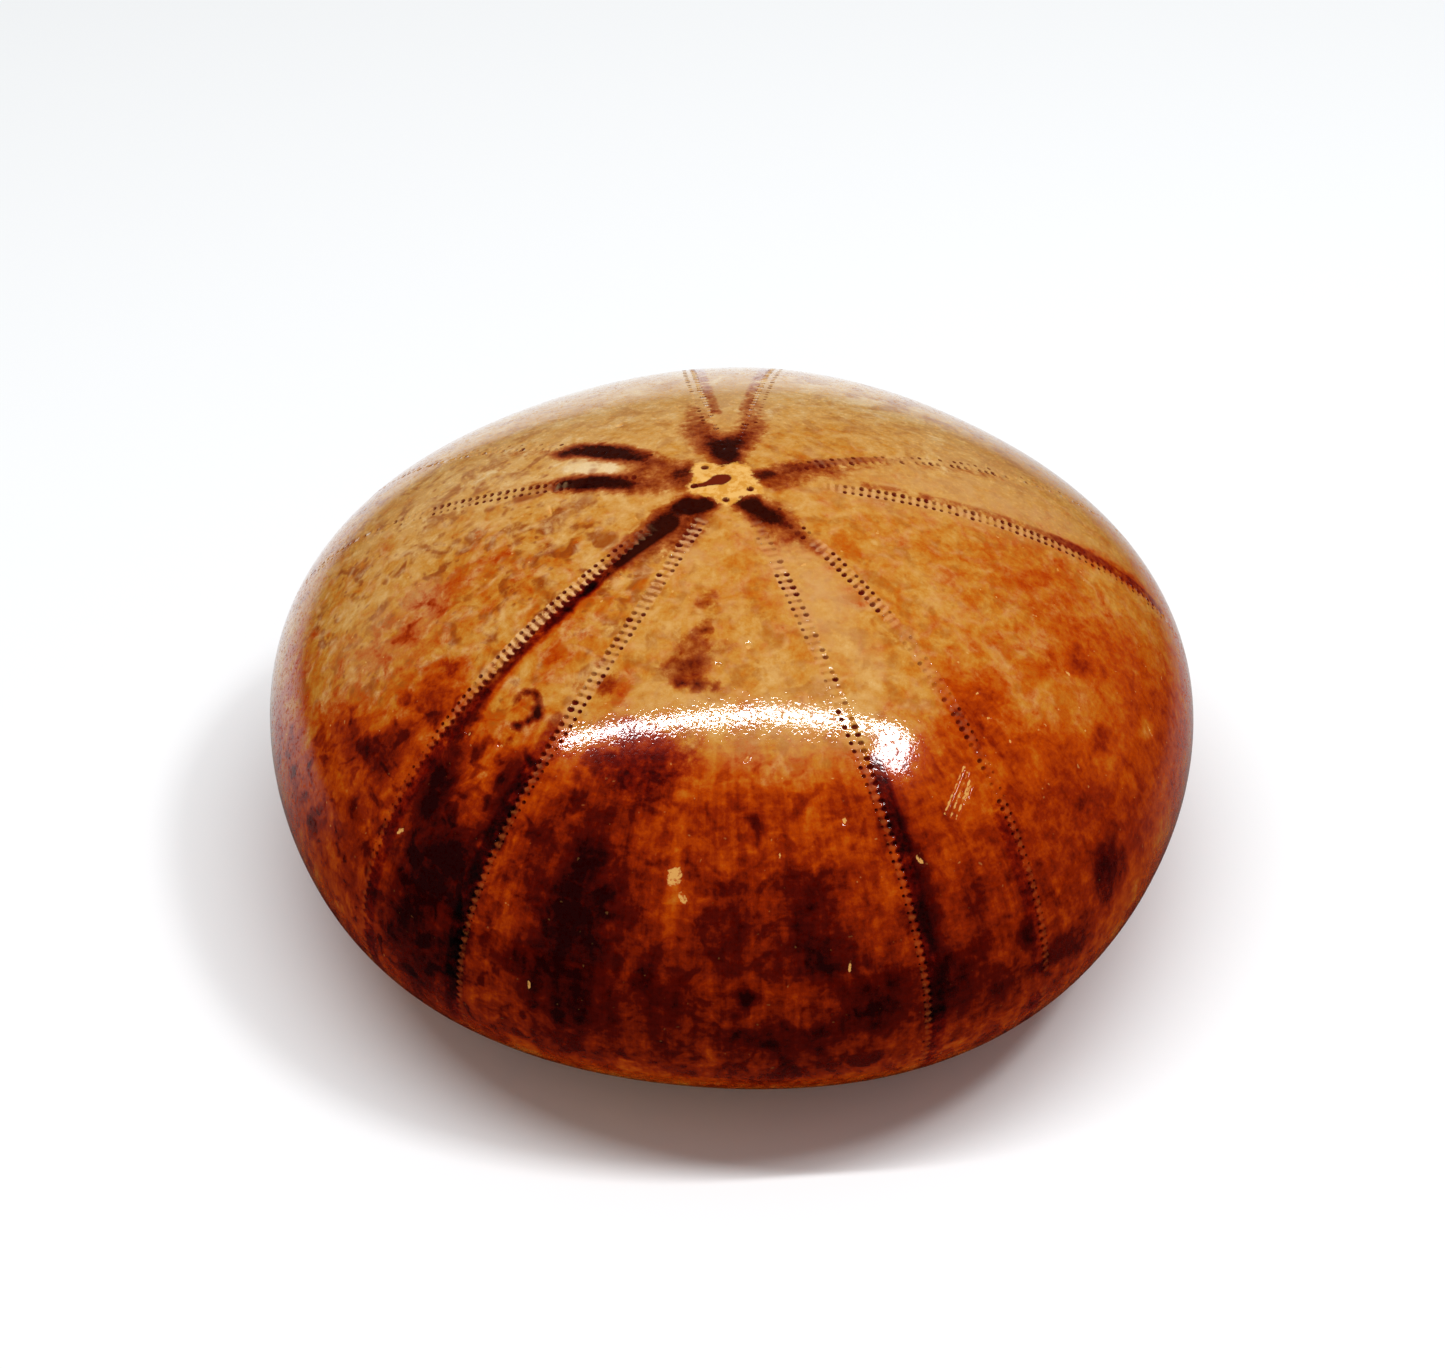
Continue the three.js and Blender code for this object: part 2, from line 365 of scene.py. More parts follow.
def inside_row(face, reach, azimuth):
    """Distance from the nearest row, inwards to the petal's middle as positive, with that row's number."""
    out, _ = face.section(reach)
    best = np.full(len(reach), -1e9)
    row = np.zeros(len(reach), int)
    for number, (petal, side) in enumerate(CLEAR_PORES):
        middle, width = petal_middle(face, petal, reach)
        apart = np.radians(angle_apart(azimuth, middle))
        across = np.where(np.abs(apart) < math.pi / 2, out * np.sin(np.abs(apart)), 1e3)
        inside = width * row_offset(face, out) - across
        nearer = (inside > best) & (np.sign(apart) == side)
        best, row = np.where(nearer, inside, best), np.where(nearer, number, row)
    return np.clip(best, -4.0, 4.0), row


def by_reach(spans, reach, blur=0.8):
    """The strength that a list of (from, to, strength) spans gives at each reach, blurred at their ends."""
    total = np.zeros(np.shape(reach))
    for start, end, strength in spans:
        within = smooth(start - blur, start, reach) * smooth(end + blur, end, reach)
        total = np.maximum(total, strength * within)
    return total


class Pit:
    """A small dent: its middle on a face, the way that is along, its half-sizes, depth and darkness."""

    def __init__(self, flat, along, size, darkness, lip=PORE_LIP, stretch=1.0):
        self.flat = np.array(flat)
        self.along = np.array(along) / np.hypot(*along)
        self.across = np.array([-self.along[1], self.along[0]]) * stretch
        self.size = size
        self.darkness = darkness
        self.lip = lip

    def ring(self, count, grow, shrink):
        """count points round the pit, at shrink times its half-sizes plus grow."""
        turn = np.linspace(0, 2 * math.pi, count, endpoint=False)
        across = (self.size["across"] * shrink + grow) * np.cos(turn)
        along = (self.size["along"] * shrink + grow) * np.sin(turn)
        return self.flat + across[:, None] * self.across + along[:, None] * self.along


def row_pits(face, petal, side, rng):
    """The pore pairs of one row of the crown or the underside."""
    pits = []
    crown = face.name == "crown"
    pitch = ROW_PITCH if crown else UNDER_PITCH
    start = FIRST_PAIR if crown else MOUTH_RADIUS + 4.5
    for reach in np.arange(start, face.size - RIM_MARGIN - 0.3, pitch):
        out, _ = face.section(reach)
        clear = float(by_reach(CLEAR_PORES[(petal, side)], reach, 0.3)) if crown else 0.5
        if rng.random() > clear * PAIR_CHANCE["clearness"] + PAIR_CHANCE["least"]:
            continue
        for inner in (True, False):
            usual = (INNER_PORE if inner else OUTER_PORE) if crown else UNDER_PORE
            fill = min(1.0, max(LEAST_FILL, rng.gauss(clear, FILL_SPREAD)))
            grow = rng.uniform(*PORE_SIZES) * (0.75 + 0.25 * fill)
            low = float(smooth(LOW_THINNING["start"], LOW_THINNING["end"], reach))
            thin = 1 - LOW_THINNING["share"] * low if crown else 1.0
            size = {way: usual[way] * grow * thin for way in ("across", "along")}
            size["depth"] = usual["depth"] * fill
            middle, width = petal_middle(face, petal, reach)
            offset = width * float(row_offset(face, out)) + (-0.5 if inner else 0.5) * PORE_APART * thin
            if not crown and inner:
                continue
            here = reach + (INNER_SHIFT if inner else 0.0) + rng.uniform(-PORE_SHIFT, PORE_SHIFT)
            azimuth = float(middle) + side * math.degrees(math.asin(min(0.99, offset / out)))
            flat = face.flat(here, azimuth)
            pits.append(Pit(flat, flat, size, fill, stretch=float(here / out)))
    return pits


# The star of plates at the apex: its middle, and the azimuth and reach of its tips and notches.
STAR_MIDDLE = np.array([-0.6, -0.1])
STAR = [
    (54, 3.1), (96, 2.1), (128, 3.6), (164, 2.5), (200, 3.2), (238, 2.15), (274, 3.3), (308, 2.25),
    (336, 3.5), (20, 2.3),
]
STAR_EDGE = 1.5  # the distance from the star's edge is kept within this
GONOPORES = [(138.1, 2.88), (189.9, 3.07), (324.7, 1.93), (260.4, 2.59)]
GONOPORE = {"across": 0.3, "along": 0.3, "depth": 0.35}
# Small dents of the crown: (azimuth, reach, half-width, half-length, depth, turn of the long side).
CHIPS = [
    (262.5, 37.3, 0.8, 1.1, 0.06, 20), (263.8, 38.9, 0.4, 0.7, 0.05, -30), (283.8, 44.4, 0.16, 0.7, 0.1, 10),
    (286.3, 33.1, 0.25, 0.4, 0.1, 0), (294.9, 37.3, 0.25, 0.6, 0.1, -20), (246.1, 48.2, 0.2, 0.55, 0.1, 0),
    (223.7, 41, 0.3, 0.5, 0.1, 30), (183.3, 15.1, 0.9, 0.14, 0.1, 0), (206.5, 8.8, 0.5, 0.14, 0.1, 0),
    (229.4, 13.7, 0.4, 0.2, 0.1, 0), (3, 27, 0.3, 0.25, 0.1, 0), (356, 28.5, 0.35, 0.2, 0.1, 0),
    (274.5, 18, 0.3, 0.3, 0.08, 0), (267, 19.8, 0.25, 0.15, 0.08, 0), (302, 11, 0.35, 0.2, 0.08, 0),
    (225.2, 31.4, 0.2, 0.2, 0.1, 0), (231.5, 30.9, 0.22, 0.2, 0.1, 0), (130.5, 14.7, 0.35, 0.2, 0.08, 0),
    (315.5, 29.9, 0.25, 0.15, 0.06, 30), (316.2, 32.4, 0.15, 0.25, 0.06, 0),
    (317.1, 31.3, 0.2, 0.13, 0.06, 20), (316.9, 27.8, 0.22, 0.13, 0.06, 0), (334.9, 32.5, 0.2, 0.4, 0.06, 0),
    (317.6, 36.6, 0.13, 0.3, 0.06, 20), (340.6, 41.9, 0.2, 0.7, 0.06, 10),
    (276.6, 35.5, 0.13, 0.35, 0.06, 10), (272.7, 27.7, 0.15, 0.4, 0.06, 40),
]
SCRATCHES = [  # from and to, each (azimuth, reach)
    ((300.5, 34.6), (306.8, 31.9)),
    ((301.2, 35.0), (306.7, 32.5)),
    ((301.8, 35.3), (306.4, 33.1)),
    ((304.6, 34.2), (306.2, 33.5)),
]
SCRATCH_WIDTH = 0.18
SCRATCH_DEPTH = 0.05
TEARDROP = [  # a dark mark on the star: (x, y) of points along it, and half its width there
    ((-3.1, -0.55), 0.3),
    ((-2.2, -0.4), 0.28),
    ((-1.5, -0.1), 0.5),
    ((-0.9, 0.2), 0.8),
    ((-0.5, 0.4), 0.6),
]
TEARDROP_DEPTH = 0.1


def star_reach(azimuth):
    """How far the star's edge is from its middle."""
    points = sorted(STAR)
    angles = [points[-1][0] - 360] + [p[0] for p in points] + [points[0][0] + 360]
    sizes = [points[-1][1]] + [p[1] for p in points] + [points[0][1]]
    return np.interp(azimuth % 360.0, angles, sizes)


def from_segment(points, start, end):
    """Distance from each point to a straight segment, and how far along it, from 0 to 1."""
    start, end = np.array(start), np.array(end)
    line = end - start
    t = np.clip(((points - start) @ line) / (line @ line), 0, 1)
    return np.linalg.norm(points - start - t[:, None] * line, axis=1), t


# -------------------- making the mesh


GRID_ROW = 0.866  # from one row of a triangular grid to the next, beside its spacing
GRID_SHAKE = 0.16
# The rings of points of a pit: how many, how many lips outside its edge, and the shares of its half-sizes,
# its depth and its darkness.
PIT_RINGS = [(8, 1, 1, 0, 0), (8, 0, 1, 0, 0.7), (6, 0, 0.7, 0.8, 1), (1, 0, 0, 1, 1)]
# Round places of the crown with finer points: (azimuth, reach, radius, spacing). The first is round the
# scratches, and the second round the ring of smears.
FINE_PLACES = [(303.8, 33.8, 2.4, 0.13), (231.6, 27.7, 2.6, 0.26)]
STAR_PLACE = (4.6, 0.2)  # radius and spacing, as for the mouth
MOUTH_PLACE = (6.5, 0.4)
CHIP_SPACING = 0.14


def hex_points(radius, spacing, rng):
    """Points of a slightly shaken triangular grid inside a circle."""
    rows = int(radius / (spacing * GRID_ROW)) + 1
    columns = int(radius / spacing) + 1
    i, j = np.meshgrid(np.arange(-columns, columns + 1), np.arange(-rows, rows + 1))
    x = (i + 0.5 * (j % 2)) * spacing
    y = j * spacing * GRID_ROW
    points = np.stack([x.ravel(), y.ravel()], axis=1)
    points += rng.uniform(-GRID_SHAKE, GRID_SHAKE, points.shape) * spacing
    return points[np.hypot(points[:, 0], points[:, 1]) < radius]


def clear_of(points, taken, gap):
    """The points that are at least gap away from every taken one."""
    tree = kdtree.KDTree(len(taken))
    for index, (x, y) in enumerate(taken):
        tree.insert((x, y, 0.0), index)
    tree.balance()
    keep = [tree.find((x, y, 0.0))[2] >= gap for x, y in points]
    return points[np.array(keep, bool)]


def face_points(face, pits, spacing, patches, rng):
    """Points of a face in flat form, with how deep each lies and how dark it is."""
    rim = face.flat(np.full(RIM_POINTS, face.size), np.arange(RIM_POINTS) * 360.0 / RIM_POINTS)
    groups, depth, dark = [rim], [np.zeros(RIM_POINTS)], [np.zeros(RIM_POINTS)]
    for pit in pits:
        for count, lips, shrink, deep, darkness in PIT_RINGS:
            groups.append(pit.ring(count, lips * pit.lip, shrink))
            depth.append(np.full(count, deep * pit.size["depth"]))
            dark.append(np.full(count, darkness * pit.darkness))
    taken = np.concatenate(groups)
    for centre, radius, fine in patches:
        extra = clear_of(hex_points(radius, fine, rng) + centre, taken, 0.7 * fine)
        groups.append(extra)
        taken = np.concatenate([taken, extra])
    base = hex_points(face.size - RIM_MARGIN, spacing, rng)
    groups.append(clear_of(base, taken, 0.6 * spacing))
    points = np.concatenate(groups)
    blank = np.zeros(len(points) - sum(len(d) for d in depth))
    return points, np.concatenate(depth + [blank]), np.concatenate(dark + [blank])


def triangles(points, face):
    """Triangles between the points, facing outwards. Points that fall together are an error."""
    result = geometry.delaunay_2d_cdt([Vector(p) for p in points], [], [], 0, 1e-6)
    back = np.array([origins[0] for origins in result[3]])
    faces = back[np.array(result[2])]
    return faces if face.name == "crown" else faces[:, ::-1]


def normals(face, flat):
    """Directions out of the bare surface, taken just inside the rim for the places on it."""
    step = 0.02
    reach, _ = polar(flat)
    flat = flat * np.minimum(1.0, (face.size - 2 * step) / np.maximum(reach, step))[:, None]
    here = face.bare(flat)
    east, north = face.bare(flat + [step, 0]) - here, face.bare(flat + [0, step]) - here
    normal = np.cross(east, north)
    normal /= np.linalg.norm(normal, axis=1, keepdims=True)
    return normal if face.name == "crown" else -normal


def crown_dents(flat, azimuth, reach):
    """Depth and paleness of the chips and scratches, and depth and darkness of the teardrop mark."""
    depth, pale, dark = np.zeros(len(flat)), np.zeros(len(flat)), np.zeros(len(flat))
    for chip_azimuth, chip_reach, wide, long, deep, turn in CHIPS:
        across = np.radians(angle_apart(azimuth, chip_azimuth)) * crown_out(reach)
        along = reach - chip_reach
        c, s = math.cos(math.radians(turn)), math.sin(math.radians(turn))
        spread = np.hypot((across * c + along * s) / wide, (along * c - across * s) / long)
        inside = 1 - smooth(0.5, 1.3, spread)
        depth += deep * inside
        pale = np.maximum(pale, inside)
    for start, end in SCRATCHES:
        ends = [CROWN.flat(point[1], point[0]) for point in (start, end)]
        away, _ = from_segment(flat, *ends)
        inside = 1 - smooth(0.2, 1.2, away / SCRATCH_WIDTH)
        depth += SCRATCH_DEPTH * inside
        pale = np.maximum(pale, inside)
    for (first, wide), (second, wider) in zip(TEARDROP, TEARDROP[1:]):
        away, t = from_segment(flat, first, second)
        inside = 1 - smooth(0.6, 1.2, away / (wide + (wider - wide) * t))
        dark = np.maximum(dark, inside)
    return depth + TEARDROP_DEPTH * dark, pale, dark


def crown_out(reach):
    return CROWN.section(reach)[0]


def stained(marks, azimuth, reach):
    """The sum of a list of stains at each place of the crown."""
    total = np.zeros(len(reach))
    out = crown_out(reach)
    for mark_azimuth, mark_reach, wide, long, strength in marks:
        across = np.radians(angle_apart(azimuth, mark_azimuth)) * out / wide
        along = (reach - mark_reach) / long
        total += strength * np.exp(-((across**2 + along**2) ** 1.4))
    return total


def facing(azimuth, middle, none, full):
    """1 within full degrees of a middle azimuth, falling to 0 at none degrees from it."""
    return smooth(none, full, np.abs(angle_apart(azimuth, middle)))


def ground_stain(azimuth, reach):
    """The stone's slow change from honey, at the top, to red-brown, low on the front."""
    front = facing(azimuth, FRONT, 75, 20)
    around = facing(azimuth, FRONT + 12, 110, 60)
    back = facing(azimuth, BACK, 75, 45)
    low_front = smooth(24, 33, reach + 3.5 * smooth(30, 55, angle_apart(azimuth, FRONT)))
    low_side = smooth(30, 44, reach)
    stain = 0.28 + 0.31 * low_front * front + 0.13 * low_side * around * (1 - front)
    return stain + (0.08 + 0.07 * back) * low_side


CROWN = crown_face()
UNDER = under_face()


def paint(face, flat, dark):
    """The numbers that the stone's material reads at each point."""
    reach, azimuth = polar(flat)
    inside, row = inside_row(face, reach, azimuth)
    crown = face.name == "crown"
    looks = {"inside": inside, "pore": dark}
    if crown:
        looks["reach"] = reach
        looks["stain"] = ground_stain(azimuth, reach) + stained(ALL_STAINS, azimuth, reach)
        looks["smear"] = sum(stained(smears, azimuth, reach) for smears in SMEARS.values())
        looks["cloud"] = stained(CLOUDS, azimuth, reach)
        per_row = {"pale_row": PALE_ROWS, "dark_row": DARK_ROWS}
        for name, spans in per_row.items():
            values = np.array([by_reach(spans[key], reach) for key in CLEAR_PORES])
            looks[name] = values[row, np.arange(len(reach))]
        left = facing(azimuth, LEFT, 60, 30)
        front = facing(azimuth, FRONT + 6, 62, 35)
        right = facing(azimuth, RIGHT, 60, 30)
        back = facing(azimuth, BACK, 75, 45)
        looks["mottle"] = 0.4 + 0.6 * left * smooth(6, 14, reach) + 0.3 * front * smooth(24, 34, reach)
        looks["mottle"] -= 0.3 * right * smooth(28, 38, reach)
        looks["mottle"] += 0.5 * back * smooth(18, 34, reach)
        looks["plaid"] = 0.15 + 0.85 * front * smooth(24, 32, reach) + 0.4 * back * smooth(26, 38, reach)
        away, turn = polar(flat - STAR_MIDDLE)
        looks["star"] = np.clip(star_reach(turn) - away, -STAR_EDGE, STAR_EDGE)
    else:
        to_rim = smooth(face.size - 10, face.size, reach)
        looks["reach"] = CROWN.size + face.size - reach
        crown_reach = np.full(len(reach), CROWN.size)
        rim_stain = ground_stain(azimuth, crown_reach) + stained(ALL_STAINS, azimuth, crown_reach)
        middle_stain = 0.42 + 0.06 * np.cos(np.radians(2 * azimuth + 40.0)) + 0.05 * np.cos(reach / 6.0)
        looks["stain"] = rim_stain * to_rim + (1 - to_rim) * middle_stain
        # Painted shade: the hollows of the mouth and the vent are darkened through the smear numbers, as if
        # shaded.
        flat_vent = vent_depth(*face.bare(flat)[:, :2].T) / VENT["depth"]
        looks["smear"] = 0.75 * (1 - smooth(1.5, MOUTH_RADIUS + 0.8, reach)) + 0.5 * flat_vent
        looks["cloud"] = 0.3 * (1 - to_rim)
        looks["pale_row"] = np.full(len(reach), 0.25)
        looks["dark_row"] = np.full(len(reach), 0.35) * smooth(MOUTH_RADIUS + 2, MOUTH_RADIUS + 8, reach)
        looks["mottle"] = 0.45 + 0.2 * to_rim
        looks["plaid"] = 0.3 + 0.5 * to_rim
        looks["star"] = np.full(len(reach), -STAR_EDGE)
    return looks


def build_face(face, pits, spacing, patches, rng):
    """The points, triangles and looks of a face, before its dents are pushed in."""
    flat, depth, dark = face_points(face, pits, spacing, patches, rng)
    faces = triangles(flat, face)
    reach, azimuth = polar(flat)
    pale = np.zeros(len(flat))
    if face.name == "crown":
        dents, pale, teardrop = crown_dents(flat, azimuth, reach)
        depth = depth + dents
    looks = paint(face, flat, dark)
    looks["fleck"] = pale
    looks["teardrop"] = teardrop if face.name == "crown" else np.zeros(len(flat))
    places = {"bare": face.bare(flat), "normal": normals(face, flat)}
    return {"flat": flat, "faces": faces, "depth": depth, "looks": looks, **places}


def fitted(points):
    """Moves and scales points of the bare surface so that its outline is the part's box."""
    low, high = points.min(axis=0), points.max(axis=0)
    scale = (HIGH - LOW) / (high - low)
    return (points - low) * scale + LOW, lambda place: (np.array(place) - low) * scale + LOW


def add_object(name, data):
    thing = bpy.data.objects.new(name, data)
    bpy.context.scene.collection.objects.link(thing)
    return thing


def both_faces(crown, under):
    """What the crown's points and the underside's have, with the shared rim taken from the crown."""
    return np.concatenate([crown, under[RIM_POINTS:]])


def shell():
    """The whole fossil as one closed mesh, and where its apex is."""
    rng = np.random.RandomState(4)
    dice = random.Random(8)
    crown_pits = [pit for petal, side in CLEAR_PORES for pit in row_pits(CROWN, petal, side, dice)]
    for azimuth, reach in GONOPORES:
        flat = CROWN.flat(reach, azimuth)
        crown_pits.append(Pit(flat, flat, GONOPORE, 1.0, lip=0.1))
    under_pits = [pit for petal, side in CLEAR_PORES for pit in row_pits(UNDER, petal, side, dice)]
    patches = [(STAR_MIDDLE, *STAR_PLACE)]
    patches += [(CROWN.flat(reach, azimuth), size, fine) for azimuth, reach, size, fine in FINE_PLACES]
    for azimuth, reach, wide, long, _, _ in CHIPS:
        patches.append((CROWN.flat(reach, azimuth), 1.5 * max(wide, long), CHIP_SPACING))
    crown = build_face(CROWN, crown_pits, CROWN_SPACING, patches, rng)
    under = build_face(UNDER, under_pits, UNDER_SPACING, [(np.zeros(2), *MOUTH_PLACE)], rng)

    count = len(crown["flat"])
    merged = np.concatenate([np.arange(RIM_POINTS), count + np.arange(len(under["flat"]) - RIM_POINTS)])
    faces = np.concatenate([crown["faces"], merged[under["faces"]]])
    bare, normal, depth = (both_faces(crown[name], under[name]) for name in ("bare", "normal", "depth"))
    looks = {name: both_faces(values, under["looks"][name]) for name, values in crown["looks"].items()}

    points, fit = fitted(bare)
    rest = smooth(0.0, 3.0, points[:, 2])
    ripple = np.array([noise.noise(Vector(p) / RIPPLE["length"]) for p in points]) * RIPPLE["height"] * rest
    points = points + normal * (np.minimum(ripple, 0.0) - depth)[:, None]

    mesh = bpy.data.meshes.new("urchin_shell")
    mesh.from_pydata((points * MM).tolist(), [], faces.tolist())
    mesh.update()
    for name, values in looks.items():
        mesh.attributes.new(name, "FLOAT", "POINT").data.foreach_set("value", values.astype(np.float32))
    mesh.polygons.foreach_set("use_smooth", [True] * len(mesh.polygons))
    piece = add_object("urchin_shell", mesh)
    print("shell:", len(points), "points,", len(faces), "triangles,", len(crown_pits), "pores")
    return piece, fit((0.0, 0.0, HEIGHT))


# -------------------- the stone's material


class Nodes:
    """Builds the node tree of a world, or of a new material of the given name."""

    def __init__(self, owner):
        self.material = bpy.data.materials.new(owner) if isinstance(owner, str) else owner
        self.material.use_nodes = True
        self.tree = self.material.node_tree
        self.tree.nodes.clear()

    def add(self, kind, settings=(), **inputs):
        node = self.tree.nodes.new(kind)
        for name, value in dict(settings).items():
            setattr(node, name, value)
        for name, value in inputs.items():
            self.put(node.inputs[name.replace("_", " ")], value)
        return node

    def put(self, socket, value):
        if isinstance(value, bpy.types.NodeSocket):
            self.tree.links.new(value, socket)
        else:
            socket.default_value = value

    def number(self, name):
        return self.add("ShaderNodeAttribute", {"attribute_name": name}).outputs["Fac"]

    def math(self, operation, *values, clamp=False):
        node = self.add("ShaderNodeMath", {"operation": operation, "use_clamp": clamp})
        for socket, value in zip(node.inputs, values):
            self.put(socket, value)
        return node.outputs[0]

    def chain(self, operation, values):
        """One operation on the first two values, then on the result and the next one, and so on."""
        total = values[0]
        for value in values[1:]:
            total = self.math(operation, total, value)
        return total

    def times(self, *values):
        return self.chain("MULTIPLY", values)

    def plus(self, *values):
        return self.chain("ADD", values)

    def vector(self, operation, *values):
        node = self.add("ShaderNodeVectorMath", {"operation": operation})
        for socket, value in zip(node.inputs, values):
            self.put(socket, value)
        return node.outputs[0]

    def noise(self, vector, scale, detail=3.0, rough=0.55, warp=0.0):
        node = self.add("ShaderNodeTexNoise", {}, Vector=vector, Scale=scale, Detail=detail, Roughness=rough,
                        Distortion=warp)
        return node.outputs["Fac"]

    def spots(self, vector, scale, size, share):
        """Round spots, 1 in their middles: so many to a millimetre, of a size beside their spacing."""
        cells = self.add("ShaderNodeTexVoronoi", {}, Vector=vector, Scale=scale, Randomness=1.0)
        kept = self.add("ShaderNodeSeparateColor", {}, Color=cells.outputs["Color"]).outputs["Red"]
        kept = self.math("LESS_THAN", kept, share)
        return self.times(self.step(cells.outputs["Distance"], size, 0.3 * size), kept)

    def step(self, value, low, high):
        """A smooth step from 0, at low, to 1, at high. High may be below low."""
        node = self.add("ShaderNodeMapRange", {"interpolation_type": "SMOOTHSTEP"}, Value=value, From_Min=low,
                        From_Max=high)
        return node.outputs["Result"]

    def band(self, value, start, end, soft):
        """1 between start and end, falling to 0 over soft outside them."""
        rise, fall = self.step(value, start - soft, start), self.step(value, end + soft, end)
        return self.times(rise, fall)

    def spread(self, value, amount):
        """A noise's value, from -amount to amount about."""
        return self.times(self.math("SUBTRACT", value, 0.5), 2.0 * amount)

    def mix(self, factor, first, second, blend="MIX"):
        node = self.add("ShaderNodeMix", {"data_type": "RGBA", "blend_type": blend})
        self.put(node.inputs[0], factor)
        self.put(node.inputs[6], first)
        self.put(node.inputs[7], second)
        return node.outputs[2]

    def ramp(self, value, stops):
        node = self.add("ShaderNodeValToRGB", {}, Fac=value)
        elements = node.color_ramp.elements
        while len(elements) < len(stops):
            elements.new(0.5)
        for element, (position, colour) in zip(elements, stops):
            element.position = position
            element.color = srgb(colour)
        return node.outputs["Color"]


def srgb(colour):
    """A colour given as 0 to 255 display values, as the linear numbers that shaders use."""
    parts = [part / 255 for part in colour]
    linear = [part / 12.92 if part < 0.04045 else ((part + 0.055) / 1.055) ** 2.4 for part in parts]
    return (*linear, 1.0)


STAIN_COLOURS = [
    (0.0, (232, 200, 150)),
    (0.16, (212, 160, 90)),
    (0.28, (198, 134, 52)),
    (0.36, (191, 112, 28)),
    (0.44, (184, 86, 8)),
    (0.52, (174, 60, 0)),
    (0.64, (136, 32, 0)),
    (0.78, (82, 8, 0)),
    (1.0, (32, 0, 0)),
]
CLOUD_COLOUR = (206, 156, 98)
MOTTLE_TINT = (0.56, 0.3, 0.22, 1.0)  # of the light that the stone gives back
GROOVE_TINT = (0.4, 0.15, 0.14, 1.0)
# These tints also darken the mouth and the vent of the underside, as painted shade.
SMEAR_AND_PAINTED_SHADE_TINTS = [  # by the strength of the smear: what it leaves of the stone's colour
    (0.06, (255, 255, 255)),
    (0.25, (222, 180, 160)),
    (0.45, (192, 128, 108)),
    (0.65, (158, 84, 66)),
    (0.85, (104, 44, 34)),
    (1.0, (62, 24, 20)),
]
VEIN_COLOUR = (230, 188, 126)
PALE_PORE_COLOUR = (232, 182, 126)
LOW_PORE_COLOUR = (186, 96, 38)
STAR_COLOUR = (232, 178, 98)
STAR_SHADE_COLOUR = (212, 146, 56)
FLECK_COLOUR = (216, 156, 82)
PORE_COLOUR = (92, 16, 6)
TEARDROP_COLOUR = (104, 28, 8)
BUMP_HEIGHT = 0.0085


def plate_vector(n, outward, reach, around, down):
    """Places in a pattern that follows the plates: how fine it is round the shell and down it."""
    wide = n.vector("MULTIPLY", outward, (around, around, 0.0))
    tall = n.add("ShaderNodeCombineXYZ", {}, X=0.0, Y=0.0, Z=n.times(reach, down)).outputs[0]
    return n.vector("ADD", wide, tall)


def stone_noises(n, place, reach):
    """The noises that several parts of the stone's material read."""
    split = n.add("ShaderNodeSeparateXYZ", {}, Vector=place)
    level = n.add("ShaderNodeCombineXYZ", {}, X=split.outputs["X"], Y=split.outputs["Y"], Z=0.0).outputs[0]
    outward = n.vector("NORMALIZE", level)
    return {
        "clouds": n.noise(place, 0.09, 4.0, 0.6, 0.6),
        "middle": n.noise(place, 0.42, 5.0, 0.62, 0.5),
        "fine": n.noise(place, 1.7, 4.0, 0.7),
        "grain": n.noise(place, 5.0, 2.0, 0.6),
        "patches": n.noise(place, 0.95, 3.0, 0.6, 0.4),
        "streaks": n.noise(plate_vector(n, outward, reach, 40.0, 0.07), 0.9, 4.0, 0.6),
        "lines": n.noise(plate_vector(n, outward, reach, 3.0, 1.6), 0.9, 3.0, 0.6),
    }


def stained_stone(n, place, noises):
    """How deeply the stone is stained, and the colour that this and the marks of the pale stone give."""
    middle, patches = noises["middle"], noises["patches"]
    plaid = n.number("plaid")
    mottle = n.number("mottle")
    stain = n.plus(n.number("stain"), n.spread(noises["clouds"], 0.09))
    deep_stone = n.step(stain, 0.34, 0.5)
    stain = n.plus(stain, n.times(n.spread(middle, 1.0), n.math("MULTIPLY_ADD", mottle, 0.12, 0.17)))
    stain = n.plus(stain, n.spread(patches, 0.13), n.spread(noises["fine"], 0.12))
    for name, amount in (("streaks", 0.14), ("lines", 0.07)):
        stain = n.plus(stain, n.times(plaid, n.spread(noises[name], amount)))
    blots = n.step(n.noise(place, 0.5, 2.0, 0.5, 0.6), 0.5, 0.66)
    stain = n.plus(stain, n.times(blots, mottle, deep_stone, 0.15))
    colour = n.ramp(stain, STAIN_COLOURS)

    # Where the stone is pale it has brown blots, thin cream veins and greyish clouds.
    pale_stone = n.step(stain, 0.5, 0.34)
    shift = n.add("ShaderNodeTexNoise", {}, Vector=place, Scale=1.6, Detail=2.0).outputs["Color"]
    warped = n.vector("ADD", place, n.vector("MULTIPLY", shift, (0.5, 0.5, 0.5)))
    spots = n.math("MAXIMUM", n.spots(warped, 0.7, 0.46, 0.4), n.spots(warped, 1.4, 0.45, 0.25))
    marks = n.times(n.math("MAXIMUM", blots, n.times(spots, 0.85)), mottle)
    marks = n.times(marks, pale_stone, n.step(middle, 0.32, 0.5))
    colour = n.mix(marks, colour, MOTTLE_TINT, "MULTIPLY")
    ridge = n.math("ABSOLUTE", n.math("SUBTRACT", n.noise(place, 0.36, 1.5, 0.5), 0.5))
    veins = n.times(n.step(ridge, 0.11, 0.0), n.step(patches, 0.36, 0.7), pale_stone)
    veins = n.times(veins, n.math("MULTIPLY_ADD", mottle, 0.4, 0.15))
    colour = n.mix(veins, colour, srgb(VEIN_COLOUR))
    cloud = n.math("MULTIPLY", n.number("cloud"), n.step(middle, 0.32, 0.62), clamp=True)
    cloud = n.times(cloud, n.step(stain, 0.6, 0.35))
    return stain, n.mix(cloud, colour, srgb(CLOUD_COLOUR))


